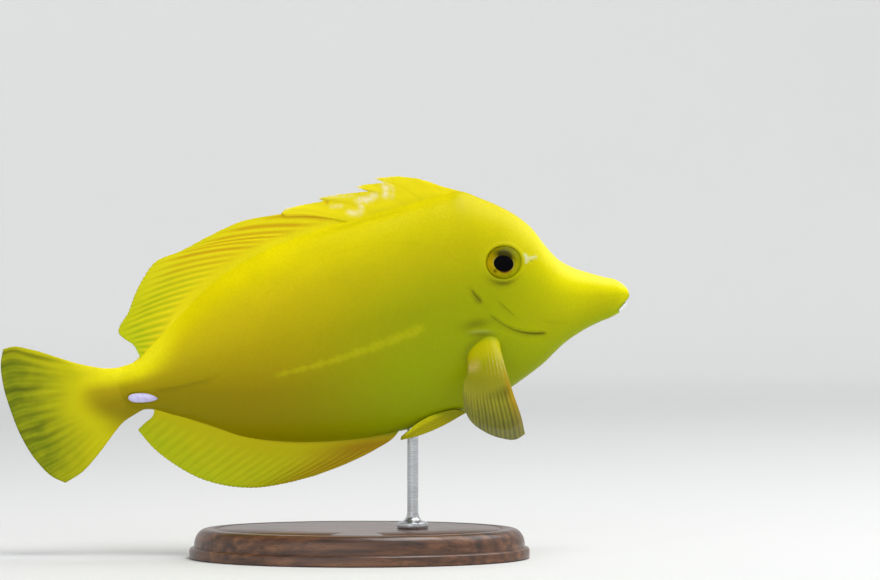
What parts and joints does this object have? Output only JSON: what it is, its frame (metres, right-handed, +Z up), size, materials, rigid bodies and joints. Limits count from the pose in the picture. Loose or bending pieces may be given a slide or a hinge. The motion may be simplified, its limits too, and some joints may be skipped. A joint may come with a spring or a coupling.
{
  "type": "yellow tang fish model on a display stand",
  "caption": "Life-size still model of a yellow tang, a deep flat reef fish with a pointed snout, swimming nose up above an oval stand with a short rod.",
  "frame": {"origin": "centre of the flat underside of the stand's base", "axes": "+X towards the fish's snout, +Y to the fish's left, +Z up"},
  "size_m": [0.17, 0.0596, 0.1032],
  "materials": {
    "flesh": "bright yellow skin with fine scales, satin",
    "fin": "yellow membrane over fine rays, greener at the margins",
    "pectoral_fin": "yellow at the root and clear grey membrane between the rays at the tip",
    "eye": "black pupil in a yellow iris under a clear cornea",
    "tail_spine": "smooth white with a lilac cast",
    "teeth": "white enamel",
    "stand_base": "dark stained hardwood, waxed",
    "stand_rod": "brushed"
  },
  "bodies": {
    "root": {"head": "flesh", "lower_jaw": "flesh", "teeth": "teeth", "gill_cover_left": "flesh", "gill_cover_right": "flesh", "eye_left": "eye", "eye_right": "eye", "trunk": "flesh", "tail_stalk": "flesh", "tail_spine_left": "tail_spine", "tail_spine_right": "tail_spine", "tail_fin": "fin", "dorsal_fin_spiny": "fin", "dorsal_fin_soft": "fin", "anal_fin": "fin", "pectoral_fin_left": "pectoral_fin", "pectoral_fin_right": "pectoral_fin", "pelvic_fin_left": "fin", "pelvic_fin_right": "fin", "stand_base": "stand_base", "stand_rod": "stand_rod"}
  },
  "joints": []
}
